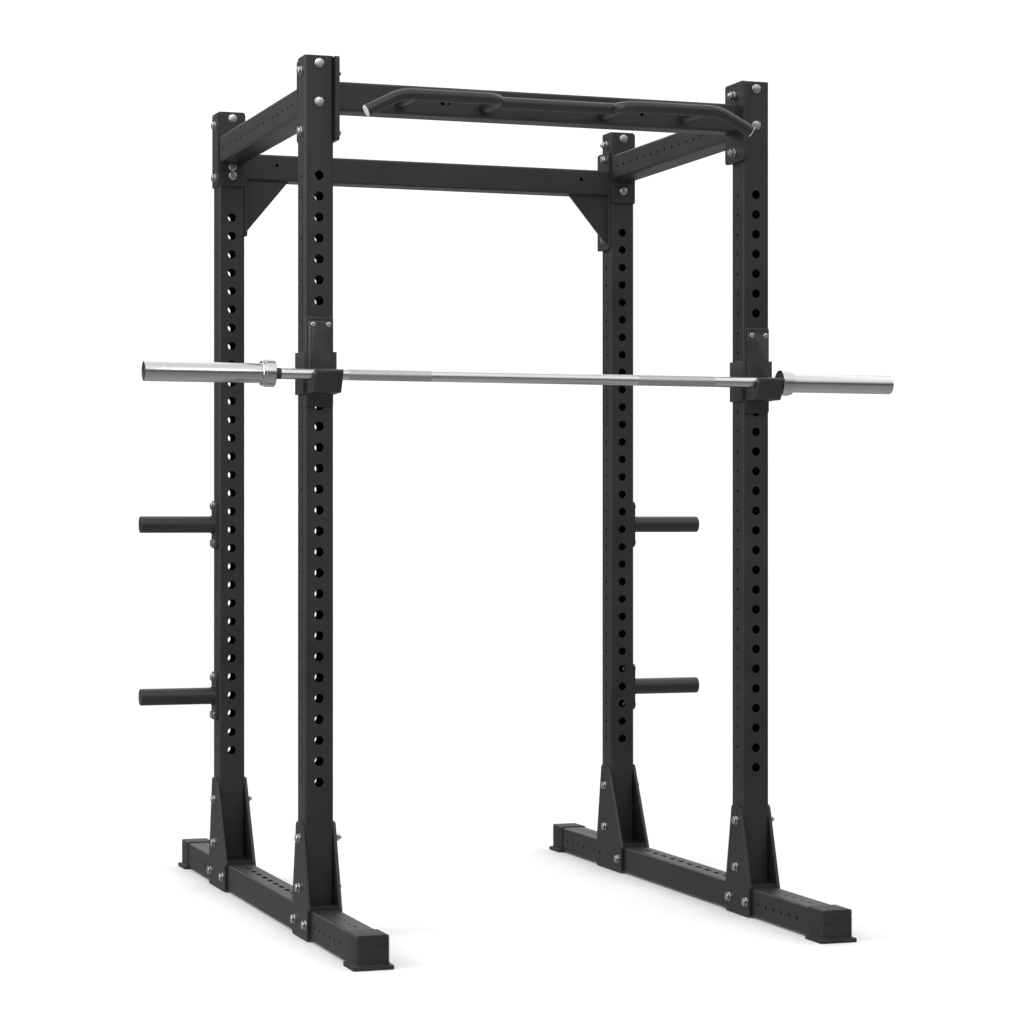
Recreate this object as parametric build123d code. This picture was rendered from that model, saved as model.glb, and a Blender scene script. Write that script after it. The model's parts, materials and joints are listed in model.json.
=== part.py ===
from build123d import *
import os

# Power cage: four perforated uprights on two base tubes, joined at the top by two side beams, a front beam
# with a multi-grip pull-up bar and a rear beam with gussets. A barbell rests in two cups that wrap the front
# uprights, and four plate horns stand out from the rear uprights.
# Units are millimetres. X runs left to right, Y front to back, Z up from the floor. The origin is on the
# floor, under the middle of the racked barbell and midway along the base tubes.

# ---- driving dimensions -------------------------------------------------------------------------------
CAGE_X = 48.0            # centre plane of the cage, beside the middle of the racked barbell
CAGE_Y = 30.0            # centre of the four uprights, behind the middle of the base tubes
SPACING_X = 1210.0       # between the centres of the left and right uprights
SPACING_Y = 974.0        # between the centres of the front and rear uprights
CAGE_HEIGHT = 2236.0     # floor to the top of the upright plugs

TUBE = 75.0              # square tube, outside
WALL = 3.0
TUBE_RADIUS = 6.0        # outer corner radius of the tubes
FIT_GAP = 0.5            # clearance of what slides in or over a tube

BASE_OVERHANG = 493.0    # base tube beyond the upright's centre line, at each end
BASE_LENGTH = SPACING_Y + 2 * BASE_OVERHANG
BASE_LIFT = 4.0          # underside of the base tubes above the floor
END_HOLE_COUNT = 6       # small holes beyond each foot bracket
END_HOLE_PITCH = 47.7
END_HOLE_START = 40.0    # first of them beyond the bracket
SLOT_PITCH = 63.6        # slots in the top face between the uprights
SLOT_END_ROOM = 300.0    # of the length between the uprights, left free of slots
SLOT_COUNT = int((SPACING_Y - SLOT_END_ROOM) / SLOT_PITCH)
SLOT_LENGTH = 36.0
SLOT_WIDTH = 14.0

HOLE_RADIUS = 12.0       # large holes through the front and rear faces of the uprights
HOLE_PITCH = 53.0
HOLE_TOP_Z = CAGE_HEIGHT - 304.0
HOLE_LOWEST_Z = 394.0    # no hole below this height
HOLE_COUNT = 1 + int((HOLE_TOP_Z - HOLE_LOWEST_Z) / HOLE_PITCH)
SMALL_HOLE_RADIUS = 5.0  # small holes through side faces

BOLT_RADIUS = 6.0
BOLT_HOLE_RADIUS = 6.5
BOLT_HEAD_FLATS = 19.0
BOLT_HEAD_HEIGHT = 7.5
HEAD_ROUNDING = 1.15     # drum that rounds a hexagon's corners, over its width across flats
HEAD_CHAMFER = 1.6
BOLT_END_CHAMFER = 1.2
THREAD_END = 6.0         # thread past a nut
WASHER_RADIUS = 12.2
WASHER_THICKNESS = 2.5
NUT_HEIGHT = 10.8
THREAD_GAP = 0.1         # between a bolt and its nut or washer

PLATE = 8.0              # brackets, flanges and backing plates
FRONT_FLANGE = 10.0      # end flanges of the front beam
FRONT_FLANGE_WIDTH = TUBE + 45.0
OUTER_PLATE = 4.0        # backing plates outside the rear uprights
FLANGE_BOTTOM_Z = CAGE_HEIGHT - 215.0
PLATE_CORNER = 8.0       # corner radius of the plates

FRONT_BEAM_Z = CAGE_HEIGHT - 101.0     # centre heights of the beams
SIDE_BEAM_Z = CAGE_HEIGHT - 110.0
REAR_BEAM_Z = CAGE_HEIGHT - 155.0

UPPER_X_BOLT_Z = CAGE_HEIGHT - 36.0
FRONT_LOWER_X_BOLT_Z = CAGE_HEIGHT - 189.0
REAR_LOWER_X_BOLT_Z = CAGE_HEIGHT - 188.0
UPPER_Y_BOLT_Z = CAGE_HEIGHT - 20.0
FRONT_LOWER_Y_BOLT_Z = CAGE_HEIGHT - 118.0
EXTRA_BOLT_GAP = 0.3     # between the left side beam and the washer of the second bolt under its back end
EXTRA_BOLT_Z = SIDE_BEAM_Z - TUBE / 2 - WASHER_RADIUS - EXTRA_BOLT_GAP
REAR_LOWER_Y_BOLT_Z = {"left": EXTRA_BOLT_Z - 25.0, "right": CAGE_HEIGHT - 179.0}

SIDE_HOLE_COUNT = int((SPACING_Y - TUBE - 2 * PLATE) / HOLE_PITCH)
FRONT_BEAM_HOLES = ((-277.0, 5.0), (-259.0, 3.5), (275.0, 4.5))    # place along the beam, radius
FRONT_HOLE_DROP = 5.0    # below the middle of the front beam
REAR_HOLE_OFFSET = 472.0
REAR_HOLE_RISE = 7.0
REAR_PLATE_WIDTH = TUBE + 17.0
REAR_PLATE_BOTTOM_Z = CAGE_HEIGHT - 355.0
REAR_PLATE_TOP_Z = CAGE_HEIGHT - 61.0
REAR_PLATE_BOLTS_Z = (CAGE_HEIGHT - 81.0, CAGE_HEIGHT - 236.0, CAGE_HEIGHT - 324.0)
GUSSET_REACH = 125.0
GUSSET_DROP = 150.0
GUSSET_SETBACK = 12.0    # gusset behind the front face of the rear beam

GRIP_RADIUS = 15.0
GRIP_WALL = 3.0
GRIP_Z = CAGE_HEIGHT - 111.0
GRIP_REACH = 147.0       # centre line of the handles in front of the beam
CENTRE_REACH = 94.0      # centre line of the middle grip in front of the beam
GRIP_INNER_X = 165.0     # return leg of each handle
GRIP_STRUT_X = 392.0
GRIP_OUTER_X = 430.0     # where each handle turns down
GRIP_END_X = 523.0
GRIP_END_DROP = 47.0
GRIP_INNER_BEND = 42.0
GRIP_OUTER_BEND = 110.0
STRUT_RADIUS = 12.5
GRIP_CAP_RIM = 2.0
GRIP_CAP_DEPTH = 12.0
PLUG_PRESS = 0.1         # clearance of the round plugs in their tubes

BRACKET_BOTTOM_Z = 1.5
FRONT_BRACKET_TOP_Z = 293.0
REAR_BRACKET_TOP_Z = 315.0
BRACKET_BACK = 62.0      # reach behind the upright's centre line
FRONT_BRACKET_REACH = 92.0
REAR_BRACKET_REACH = 142.0
BRACKET_TOP_FRONT = 28.0
BRACKET_TOP_BACK = 22.0
UPRIGHT_BOLTS_Z = (252.0, 127.0)
UPRIGHT_BOLT_Y = -10.0
BRACKET_TOP_ROUND = 14.0
BRACKET_FOOT_CORNER = 6.0
SHELF_FRONT_SETBACK = 6.0
SHELF_BACK_SETBACK = 2.0
BASE_BOLT_BACK = 36.0
FRONT_BASE_BOLT = -74.0
REAR_BASE_BOLT = -116.0

CAP_WALL = 3.0           # ribbed boots on the ends of the base tubes
CAP_END_WALL = 4.0
CAP_OVERLAP = 81.0
CAP_FOOT = 9.5           # how far the foot of a boot stands out
CAP_FOOT_HEIGHT = 10.0
CAP_GROOVES = 11
CAP_GROOVE_DEPTH = 1.2
CAP_GROOVE_HEIGHT = 3.0
CAP_FIRST_GROOVE_Z = 13.0
CAP_GROOVE_PITCH = (TUBE - CAP_FIRST_GROOVE_Z) / (CAP_GROOVES - 1)
CAP_FOOT_CORNER = 4.0

PLUG_RIM = 2.0
PLUG_DEPTH = 22.0
PLUG_WALL = 3.0
PLUG_INNER_CORNER = 1.0

HORN_RADIUS = 24.0
HORN_WALL = 3.0
HORN_LENGTH = 212.0
HORN_HEIGHTS = {"upper": 1046.0, "lower": 551.0}
HORN_FLANGE_HEIGHT = 138.0
HORN_FLANGE_WIDTH = TUBE - 15.0
HORN_BOLT_OFFSET = 54.0
HORN_COLLAR_RADIUS = 27.0
HORN_COLLAR_LENGTH = 7.0
HORN_CAP_RIM = 3.0
HORN_CAP_ROUND = 2.0
HORN_CAP_DEPTH = 15.0
HORN_FLANGE_CORNER = 12.0

CUP_PLATE = 6.0
CUP_GAP = 0.5            # between a cup and the upright it wraps
CUP_PIN_HOLE = 8         # which large hole takes the pin, counted from the top
CUP_PIN_Z = HOLE_TOP_Z - CUP_PIN_HOLE * HOLE_PITCH
CUP_PLATE_WIDTH = TUBE - 5.0
CUP_BOTTOM_Z = CUP_PIN_Z - 162.5
CUP_TOP_Z = CUP_PIN_Z + 66.0
CUP_EAR_BOTTOM_Z = CUP_PIN_Z - 130.0
CUP_EAR_TOP_Z = CUP_PIN_Z - 23.0
CUP_WIDTH = TUBE - 3.0
CUP_DEPTH = 94.0         # back plate to the front of the lip
CUP_SEAT_Z = CUP_PIN_Z - 98.0
CUP_LIP_TOP_Z = CUP_PIN_Z - 72.0
CUP_LIP_STEEL_TOP_Z = CUP_PIN_Z - 80.0
CUP_LIP_LINER = 14.0
CUP_LEAN = 22.0          # how far the foot of the lip stands behind its top
CUP_LINER = 10.0
CUP_LINER_WIDTH = TUBE - 13.0
CUP_FACET = 20.0         # bevel on the inner side of a back liner
CUP_FACET_DEPTH = 3.0
CUP_FACET_TOP_Z = CUP_PIN_Z + 33.0
CUP_LINER_TOP_Z = CUP_PIN_Z + 54.0
CUP_SCREW_Z = CUP_PIN_Z + 45.0
CUP_SCREW_X = 20.0
CUP_SCREW_RADIUS = 4.0
CUP_SCREW_HEAD_RADIUS = 6.5
CUP_SCREW_HEAD = 3.2
CUP_CORNER = 8.0         # bend radius at the foot of the lip
CUP_PLATE_CORNER = 6.0
LINER_CHAMFER = 2.0
LIP_ROUND = 4.0
SCREW_HEAD_ROUND = 2.4
CRADLE_RADIUS = 8.0
CUP_PIN_GAP = 0.5        # clearance of a cup's pin in a large hole
CUP_PIN_LENGTH = 46.0
CUP_PIN_CHAMFER = 2.0

BAR_RADIUS = 14.0
COLLAR_GAP = 2.0         # between the right collar and its cup
SLEEVE_LENGTH = 295.0    # beyond the collar
BAR_SEAT_GAP = 0.3       # above the seat
BAR_LIP_GAP = 1.0        # behind the lip
COLLAR_RADIUS = 34.0
COLLAR_WIDTH = 33.0
SLEEVE_RADIUS = 25.0
BUSHING_WALL = 3.0       # also the sleeve's bore around the shaft
SLEEVE_BORE = BAR_RADIUS + BUSHING_WALL
BUSHING_LENGTH = 40.0
BUSHING_GAP = 0.05       # running clearance of the shaft in its bushings
BAND_WIDTH = 17.0        # black band beside each collar
BAND_DEPTH = 2.5
SHAFT_SETBACK = 30.0     # end of the shaft inside the end of the sleeve
SNAP_RING_WIDTH = 2.5
SNAP_RING_INSET = 6.0
SNAP_RING_DEPTH = 1.5
SNAP_RING_RADIUS = BAR_RADIUS + 2.3
END_PLUG_RADIUS = 22.0
END_PLUG_THICKNESS = 4.0
END_PLUG_RECESS = 1.0
SHAFT_CHAMFER = 1.0
COLLAR_CHAMFER = 2.0
SLEEVE_CHAMFER = 1.5
BUSHING_END_GAP = 1.0    # between the outer bushing and the snap ring

# ---- worked-out places --------------------------------------------------------------------------------
HALF = TUBE / 2
LEFT_X = CAGE_X - SPACING_X / 2
RIGHT_X = CAGE_X + SPACING_X / 2
FRONT_Y = CAGE_Y - SPACING_Y / 2
REAR_Y = CAGE_Y + SPACING_Y / 2
CORNERS = {
    "front_left": (LEFT_X, FRONT_Y),
    "front_right": (RIGHT_X, FRONT_Y),
    "rear_left": (LEFT_X, REAR_Y),
    "rear_right": (RIGHT_X, REAR_Y),
}
BASE_TOP_Z = BASE_LIFT + TUBE
BASE_MID_Z = BASE_LIFT + HALF
UPRIGHT_BOTTOM_Z = BASE_TOP_Z + PLATE
UPRIGHT_TOP_Z = CAGE_HEIGHT - PLUG_RIM
FLANGE_TOP_Z = UPRIGHT_TOP_Z
CUP_BACK_Y = FRONT_Y - HALF - CUP_GAP
CUP_FRONT_Y = CUP_BACK_Y - CUP_PLATE
CUP_PIN_RADIUS = HOLE_RADIUS - CUP_PIN_GAP
LIP_FRONT_Y = CUP_FRONT_Y - CUP_DEPTH
LIP_BACK_Y = LIP_FRONT_Y + CUP_PLATE + CUP_LIP_LINER
CUP_FLOOR_Z = CUP_EAR_BOTTOM_Z + CUP_PLATE
BAR_COLLAR_X = RIGHT_X + CUP_WIDTH / 2 + COLLAR_GAP     # inner face of each collar
BAR_HALF_LENGTH = BAR_COLLAR_X + COLLAR_WIDTH + SLEEVE_LENGTH
BAR_Y = LIP_BACK_Y + BAR_LIP_GAP + BAR_RADIUS
BAR_Z = CUP_SEAT_Z + BAR_SEAT_GAP + BAR_RADIUS

long_bolts = []
short_bolts = []
washers = []
nuts = []


def outward(corner_x):
    """-1 on the left of the cage, +1 on the right."""
    return -1 if corner_x < CAGE_X else 1


def side_of(corner_name):
    """left or right, from a corner's name."""
    return corner_name.split("_")[1]


# ---- basic shapes -------------------------------------------------------------------------------------
def block(x0, x1, y0, y1, z0, z1):
    """A box between two corners, given in any order."""
    size = (abs(x1 - x0), abs(y1 - y0), abs(z1 - z0))
    return Pos((x0 + x1) / 2, (y0 + y1) / 2, (z0 + z1) / 2) * Box(*size)


def rod(start, end, radius):
    """A round bar between two points."""
    axis = Vector(*end) - Vector(*start)
    profile = Plane(origin=start, z_dir=axis) * Circle(radius)
    return extrude(profile, axis.length)


def tube_profile():
    """Section of the square tube, hollow, with rounded corners."""
    inside = TUBE - 2 * WALL
    return RectangleRounded(TUBE, TUBE, TUBE_RADIUS) - RectangleRounded(inside, inside, TUBE_RADIUS - WALL)


def square_tube(start, end):
    """A length of square tube along one axis, from start to end."""
    axis = Vector(*end) - Vector(*start)
    side = Vector(0, 1, 0) if abs(axis.X) > 1 else Vector(1, 0, 0)
    return extrude(Plane(origin=start, x_dir=side, z_dir=axis) * tube_profile(), axis.length)


def plate_x(x0, thickness, y0, y1, z0, z1, radius=PLATE_CORNER):
    """An upright plate facing left and right, with rounded corners."""
    centre = (x0, (y0 + y1) / 2, (z0 + z1) / 2)
    outline = RectangleRounded(y1 - y0, z1 - z0, radius)
    return extrude(Plane(origin=centre, x_dir=(0, 1, 0), z_dir=(1, 0, 0)) * outline, thickness)


def plate_y(y0, thickness, x0, x1, z0, z1, radius=PLATE_CORNER):
    """An upright plate facing front and back, with rounded corners."""
    centre = ((x0 + x1) / 2, y0, (z0 + z1) / 2)
    outline = RectangleRounded(x1 - x0, z1 - z0, radius)
    return extrude(Plane(origin=centre, x_dir=(-1, 0, 0), z_dir=(0, 1, 0)) * outline, thickness)


def cut_all(shape, tools):
    """The shape with every tool cut out of it."""
    return shape - tools if tools else shape


# ---- fasteners ----------------------------------------------------------------------------------------
def hex_solid(height):
    """A hexagon across the bolt's flats, with its outer corners rounded off at the top."""
    hexagon = extrude(RegularPolygon(BOLT_HEAD_FLATS / 2, 6, major_radius=False), height)
    drum = Pos(0, 0, height / 2) * Cylinder(BOLT_HEAD_FLATS / 2 * HEAD_ROUNDING, height)
    drum = chamfer(drum.edges().group_by(Axis.Z)[-1], HEAD_CHAMFER)
    return hexagon & drum


def bolt_solid(length):
    """A hexagon-head bolt: the head stands on z = 0 and the shank runs down."""
    shank = Pos(0, 0, -length / 2) * Cylinder(BOLT_RADIUS, length)
    shank = chamfer(shank.edges().group_by(Axis.Z)[0], BOLT_END_CHAMFER)
    return hex_solid(BOLT_HEAD_HEIGHT) + shank


def washer_solid():
    """A flat washer standing on z = 0."""
    ring = Circle(WASHER_RADIUS) - Circle(BOLT_RADIUS + THREAD_GAP)
    return extrude(ring, WASHER_THICKNESS)


def nut_solid():
    """A hexagon nut standing on z = 0."""
    bore = Pos(0, 0, NUT_HEIGHT / 2) * Cylinder(BOLT_RADIUS + THREAD_GAP, NUT_HEIGHT)
    return hex_solid(NUT_HEIGHT) - bore


WASHER_SOLID = washer_solid()
NUT_SOLID = nut_solid()


def placed(solid, point, direction, rise):
    """A copy of the solid with its z axis along direction, raised from point by rise."""
    spot = Vector(*point) + Vector(*direction) * rise
    return Plane(origin=spot, z_dir=direction).location * solid


def add_long_bolt(point, direction, grip):
    """A through bolt: head and washer on the face at point, washer and nut on the far face."""
    back = tuple(-value for value in direction)
    length = grip + 2 * WASHER_THICKNESS + NUT_HEIGHT + THREAD_END
    long_bolts.append(placed(bolt_solid(length), point, direction, WASHER_THICKNESS))
    washers.append(placed(WASHER_SOLID, point, direction, 0))
    washers.append(placed(WASHER_SOLID, point, back, grip))
    nuts.append(placed(NUT_SOLID, point, back, grip + WASHER_THICKNESS))


def add_short_bolt(point, direction, grip):
    """A short bolt with a washer, in a nut welded inside the tube."""
    back = tuple(-value for value in direction)
    length = grip + WASHER_THICKNESS + NUT_HEIGHT + THREAD_END
    short_bolts.append(placed(bolt_solid(length), point, direction, WASHER_THICKNESS))
    washers.append(placed(WASHER_SOLID, point, direction, 0))
    nuts.append(placed(NUT_SOLID, point, back, grip))


def bolt_hole_x(y, z, x0, x1):
    """A bolt hole along X."""
    return rod((min(x0, x1), y, z), (max(x0, x1), y, z), BOLT_HOLE_RADIUS)


def bolt_hole_y(x, z, y0, y1):
    """A bolt hole along Y."""
    return rod((x, min(y0, y1), z), (x, max(y0, y1), z), BOLT_HOLE_RADIUS)


# ---- uprights -----------------------------------------------------------------------------------------
def horn_bolt_heights():
    """Heights of the bolts that hold the plate horns."""
    return [z + step for z in HORN_HEIGHTS.values() for step in (HORN_BOLT_OFFSET, -HORN_BOLT_OFFSET)]


def upright(name):
    """A perforated upright: large holes front to back, small holes side to side, and its bolt holes."""
    x, y = CORNERS[name]
    rear = name.startswith("rear")
    side = outward(x)
    body = square_tube((x, y, UPRIGHT_BOTTOM_Z), (x, y, UPRIGHT_TOP_Z))
    reach = HALF + 1
    cuts = []
    for row in range(HOLE_COUNT):
        z = HOLE_TOP_Z - row * HOLE_PITCH
        cuts.append(rod((x, y - reach, z), (x, y + reach, z), HOLE_RADIUS))
        cuts.append(rod((x - reach, y, z), (x + reach, y, z), SMALL_HOLE_RADIUS))
    cuts.append(bolt_hole_x(y, UPPER_X_BOLT_Z, x - reach, x + reach))
    lower_y = REAR_LOWER_Y_BOLT_Z[side_of(name)] if rear else FRONT_LOWER_Y_BOLT_Z
    for z in (UPPER_Y_BOLT_Z, lower_y):
        cuts.append(bolt_hole_y(x, z, y - reach, y + reach))
    for z in UPRIGHT_BOLTS_Z:
        cuts.append(bolt_hole_x(y + UPRIGHT_BOLT_Y, z, x - reach, x + reach))
    if rear:
        for z in [REAR_LOWER_X_BOLT_Z] + horn_bolt_heights():
            cuts.append(bolt_hole_x(y, z, x, x + side * reach))
        for z in REAR_PLATE_BOLTS_Z:
            cuts.append(bolt_hole_x(y, z, x, x - side * reach))
    else:
        cuts.append(bolt_hole_x(y, FRONT_LOWER_X_BOLT_Z, x - reach, x + reach))
    if name == "rear_left":
        cuts.append(bolt_hole_y(x, EXTRA_BOLT_Z, y - reach, y))
    return cut_all(body, cuts)


def upright_plug(x, y):
    """A plastic plug that closes the top of an upright."""
    rim = Pos(x, y, UPRIGHT_TOP_Z) * extrude(RectangleRounded(TUBE, TUBE, TUBE_RADIUS), PLUG_RIM)
    inside = TUBE - 2 * (WALL + FIT_GAP)
    skirt = RectangleRounded(inside, inside, TUBE_RADIUS - WALL)
    core = inside - 2 * PLUG_WALL
    skirt -= RectangleRounded(core, core, PLUG_INNER_CORNER)
    stem = Pos(x, y, UPRIGHT_TOP_Z - PLUG_DEPTH) * extrude(skirt, PLUG_DEPTH)
    # the skirt stops short of the through bolts below the rim
    bolt_room = Pos(x, y, UPPER_Y_BOLT_Z) * Box(2 * BOLT_HEAD_FLATS, TUBE, 2 * BOLT_HEAD_FLATS)
    return rim + (stem - bolt_room)


# ---- base ---------------------------------------------------------------------------------------------
def base_bolt_places(name):
    """Places along Y of the bolts that hold one foot bracket to its base tube."""
    y = CORNERS[name][1]
    if name.startswith("front"):
        return [y + BASE_BOLT_BACK, y + FRONT_BASE_BOLT]
    return [y + BASE_BOLT_BACK, y + REAR_BASE_BOLT]


def base_tube(side_name):
    """A base tube with bolt holes, a line of small side holes and a line of holes in its top face."""
    x = LEFT_X if side_name == "left" else RIGHT_X
    end = BASE_LENGTH / 2
    body = square_tube((x, -end, BASE_MID_Z), (x, end, BASE_MID_Z))
    reach = HALF + 1
    cuts = []
    for name in ("front_" + side_name, "rear_" + side_name):
        for y in base_bolt_places(name):
            cuts.append(bolt_hole_x(y, BASE_MID_Z, x - reach, x + reach))
    front_start = FRONT_Y - FRONT_BRACKET_REACH - END_HOLE_START
    rear_start = REAR_Y + BRACKET_BACK + END_HOLE_START
    for step in range(END_HOLE_COUNT):
        front_hole = front_start - step * END_HOLE_PITCH
        rear_hole = rear_start + step * END_HOLE_PITCH
        for y in (front_hole, rear_hole):
            cuts.append(rod((x - reach, y, BASE_MID_Z), (x + reach, y, BASE_MID_Z), SMALL_HOLE_RADIUS))
            cuts.append(rod((x, y, BASE_MID_Z), (x, y, BASE_TOP_Z + 1), SMALL_HOLE_RADIUS))
    middle = (FRONT_Y + BRACKET_BACK + REAR_Y - REAR_BRACKET_REACH) / 2
    for step in range(SLOT_COUNT):
        y = middle + (step - (SLOT_COUNT - 1) / 2) * SLOT_PITCH
        outline = SlotOverall(SLOT_LENGTH, SLOT_WIDTH, rotation=90)
        slot = Pos(x, y, BASE_TOP_Z - WALL - 1) * extrude(outline, WALL + 2)
        cuts.append(slot)
    return cut_all(body, cuts)


def end_cap(side_name, end_name):
    """A ribbed rubber boot over one end of a base tube, with a foot that carries the cage."""
    x = LEFT_X if side_name == "left" else RIGHT_X
    sign = -1 if end_name == "front" else 1
    tube_end = sign * BASE_LENGTH / 2
    inner = tube_end - sign * CAP_OVERLAP
    face = tube_end + sign * CAP_END_WALL
    half = HALF + CAP_WALL
    top = BASE_TOP_Z + CAP_WALL
    boot = block(x - half, x + half, inner, face, 0, top)
    boot = fillet(boot.edges().filter_by(Axis.Y).group_by(Axis.Z)[-1], TUBE_RADIUS)
    foot_half = half + CAP_FOOT
    foot = block(x - foot_half, x + foot_half, inner, face + sign * CAP_FOOT, 0, CAP_FOOT_HEIGHT)
    foot = fillet(foot.edges().filter_by(Axis.Z), CAP_FOOT_CORNER)
    body = boot + foot
    cavity = Plane(origin=(x, inner, BASE_MID_Z), x_dir=(1, 0, 0), z_dir=(0, sign, 0))
    body -= extrude(cavity * RectangleRounded(TUBE, TUBE, TUBE_RADIUS), CAP_OVERLAP)
    cuts = []
    for row in range(CAP_GROOVES):
        z = CAP_FIRST_GROOVE_Z + row * CAP_GROOVE_PITCH
        frame = block(x - half - 1, x + half + 1, inner - sign, face + sign, z, z + CAP_GROOVE_HEIGHT)
        core_half = half - CAP_GROOVE_DEPTH
        core_face = face - sign * CAP_GROOVE_DEPTH
        core = block(x - core_half, x + core_half, inner - 2 * sign, core_face, z, z + CAP_GROOVE_HEIGHT)
        cuts.append(frame - core)
    return cut_all(body, cuts)


def foot_bracket(name):
    """Two A-shaped gussets and the plate between them, which straddle the base tube and the upright."""
    x, y = CORNERS[name]
    front = name.startswith("front")
    reach = FRONT_BRACKET_REACH if front else REAR_BRACKET_REACH
    top = FRONT_BRACKET_TOP_Z if front else REAR_BRACKET_TOP_Z
    outline = Polyline(
        (y - reach, BRACKET_BOTTOM_Z),
        (y + BRACKET_BACK, BRACKET_BOTTOM_Z),
        (y + BRACKET_BACK, BASE_TOP_Z),
        (y + BRACKET_TOP_BACK, top),
        (y - BRACKET_TOP_FRONT, top),
        (y - reach, BASE_TOP_Z),
        close=True,
    )
    face = make_face(outline)
    face = fillet(face.vertices().group_by(Axis.Y)[-1], BRACKET_TOP_ROUND)
    face = chamfer(face.vertices().group_by(Axis.Y)[0], BRACKET_FOOT_CORNER)
    sheets = []
    for start in (x - HALF - PLATE, x + HALF):
        plane = Plane(origin=(start, 0, 0), x_dir=(0, 1, 0), z_dir=(1, 0, 0))
        sheets.append(extrude(plane * face, PLATE))
    shelf_front = y - reach + SHELF_FRONT_SETBACK
    shelf_back = y + BRACKET_BACK - SHELF_BACK_SETBACK
    shelf = block(x - HALF, x + HALF, shelf_front, shelf_back, BASE_TOP_Z, UPRIGHT_BOTTOM_Z)
    body = sheets[0] + sheets[1] + shelf
    far = HALF + PLATE + 1
    cuts = [bolt_hole_x(y + UPRIGHT_BOLT_Y, z, x - far, x + far) for z in UPRIGHT_BOLTS_Z]
    cuts += [bolt_hole_x(place, BASE_MID_Z, x - far, x + far) for place in base_bolt_places(name)]
    return cut_all(body, cuts)


def foot_bolts(name):
    """The through bolts of one foot bracket, with their heads on its left side."""
    x, y = CORNERS[name]
    point_x = x - HALF - PLATE
    grip = TUBE + 2 * PLATE
    for z in UPRIGHT_BOLTS_Z:
        add_long_bolt((point_x, y + UPRIGHT_BOLT_Y, z), (-1, 0, 0), grip)
    places = base_bolt_places(name)
    if name == "rear_right":
        # the back hole of this bracket is left open
        places = places[1:]
    for place in places:
        add_long_bolt((point_x, place, BASE_MID_Z), (-1, 0, 0), grip)


# ---- beams --------------------------------------------------------------------------------------------
def side_beam(side_name):
    """A side beam with a bolted flange at each end and a line of small holes in its sides."""
    x = LEFT_X if side_name == "left" else RIGHT_X
    start = FRONT_Y + HALF
    end = REAR_Y - HALF
    body = square_tube((x, start + PLATE, SIDE_BEAM_Z), (x, end - PLATE, SIDE_BEAM_Z))
    for flange_y in (start, end - PLATE):
        body += plate_y(flange_y, PLATE, x - HALF, x + HALF, FLANGE_BOTTOM_Z, FLANGE_TOP_Z)
    reach = HALF + 1
    cuts = []
    for step in range(SIDE_HOLE_COUNT):
        y = CAGE_Y + (step - (SIDE_HOLE_COUNT - 1) / 2) * HOLE_PITCH
        cuts.append(rod((x - reach, y, SIDE_BEAM_Z), (x + reach, y, SIDE_BEAM_Z), SMALL_HOLE_RADIUS))
    for z in (UPPER_Y_BOLT_Z, FRONT_LOWER_Y_BOLT_Z):
        cuts.append(bolt_hole_y(x, z, start - 1, start + PLATE + 1))
    for z in (UPPER_Y_BOLT_Z, REAR_LOWER_Y_BOLT_Z[side_name]):
        cuts.append(bolt_hole_y(x, z, end - PLATE - 1, end + 1))
    if side_name == "left":
        cuts.append(bolt_hole_y(x, EXTRA_BOLT_Z, end - PLATE - 1, end + 1))
    return cut_all(body, cuts)


def front_beam():
    """The front beam with its two end flanges and the small holes in its front face."""
    start = LEFT_X + HALF
    end = RIGHT_X - HALF
    tube_start = (start + FRONT_FLANGE, FRONT_Y, FRONT_BEAM_Z)
    body = square_tube(tube_start, (end - FRONT_FLANGE, FRONT_Y, FRONT_BEAM_Z))
    front = FRONT_Y - FRONT_FLANGE_WIDTH / 2
    back = FRONT_Y + FRONT_FLANGE_WIDTH / 2
    for flange_x in (start, end - FRONT_FLANGE):
        body += plate_x(flange_x, FRONT_FLANGE, front, back, FLANGE_BOTTOM_Z, FLANGE_TOP_Z)
    cuts = []
    for flange_x in (start, end - FRONT_FLANGE):
        for z in (UPPER_X_BOLT_Z, FRONT_LOWER_X_BOLT_Z):
            cuts.append(bolt_hole_x(FRONT_Y, z, flange_x - 1, flange_x + FRONT_FLANGE + 1))
    for offset, radius in FRONT_BEAM_HOLES:
        x = CAGE_X + offset
        z = FRONT_BEAM_Z - FRONT_HOLE_DROP
        cuts.append(rod((x, FRONT_Y - HALF - 1, z), (x, FRONT_Y, z), radius))
    return cut_all(body, cuts)


def rear_beam():
    """The rear beam with an end plate and a triangular gusset at each end."""
    start = LEFT_X + HALF
    end = RIGHT_X - HALF
    front = REAR_Y - HALF
    body = square_tube((start + PLATE, REAR_Y, REAR_BEAM_Z), (end - PLATE, REAR_Y, REAR_BEAM_Z))
    under = REAR_BEAM_Z - HALF
    cuts = []
    back = front + REAR_PLATE_WIDTH
    for plate_start, root, sign in ((start, start + PLATE, 1), (end - PLATE, end - PLATE, -1)):
        body += plate_x(plate_start, PLATE, front, back, REAR_PLATE_BOTTOM_Z, REAR_PLATE_TOP_Z)
        corner = Polyline(
            (root, under),
            (root + sign * GUSSET_REACH, under),
            (root, under - GUSSET_DROP),
            close=True,
        )
        plane = Plane(origin=(0, front + GUSSET_SETBACK, 0), x_dir=(1, 0, 0), z_dir=(0, -1, 0))
        body += extrude(plane * make_face(corner), -PLATE)
        for z in REAR_PLATE_BOLTS_Z:
            cuts.append(bolt_hole_x(REAR_Y, z, plate_start - 1, plate_start + PLATE + 1))
    for x in (CAGE_X - REAR_HOLE_OFFSET, CAGE_X + REAR_HOLE_OFFSET):
        z = REAR_BEAM_Z + REAR_HOLE_RISE
        cuts.append(rod((x, front - 1, z), (x, REAR_Y, z), SMALL_HOLE_RADIUS))
    return cut_all(body, cuts)


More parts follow.
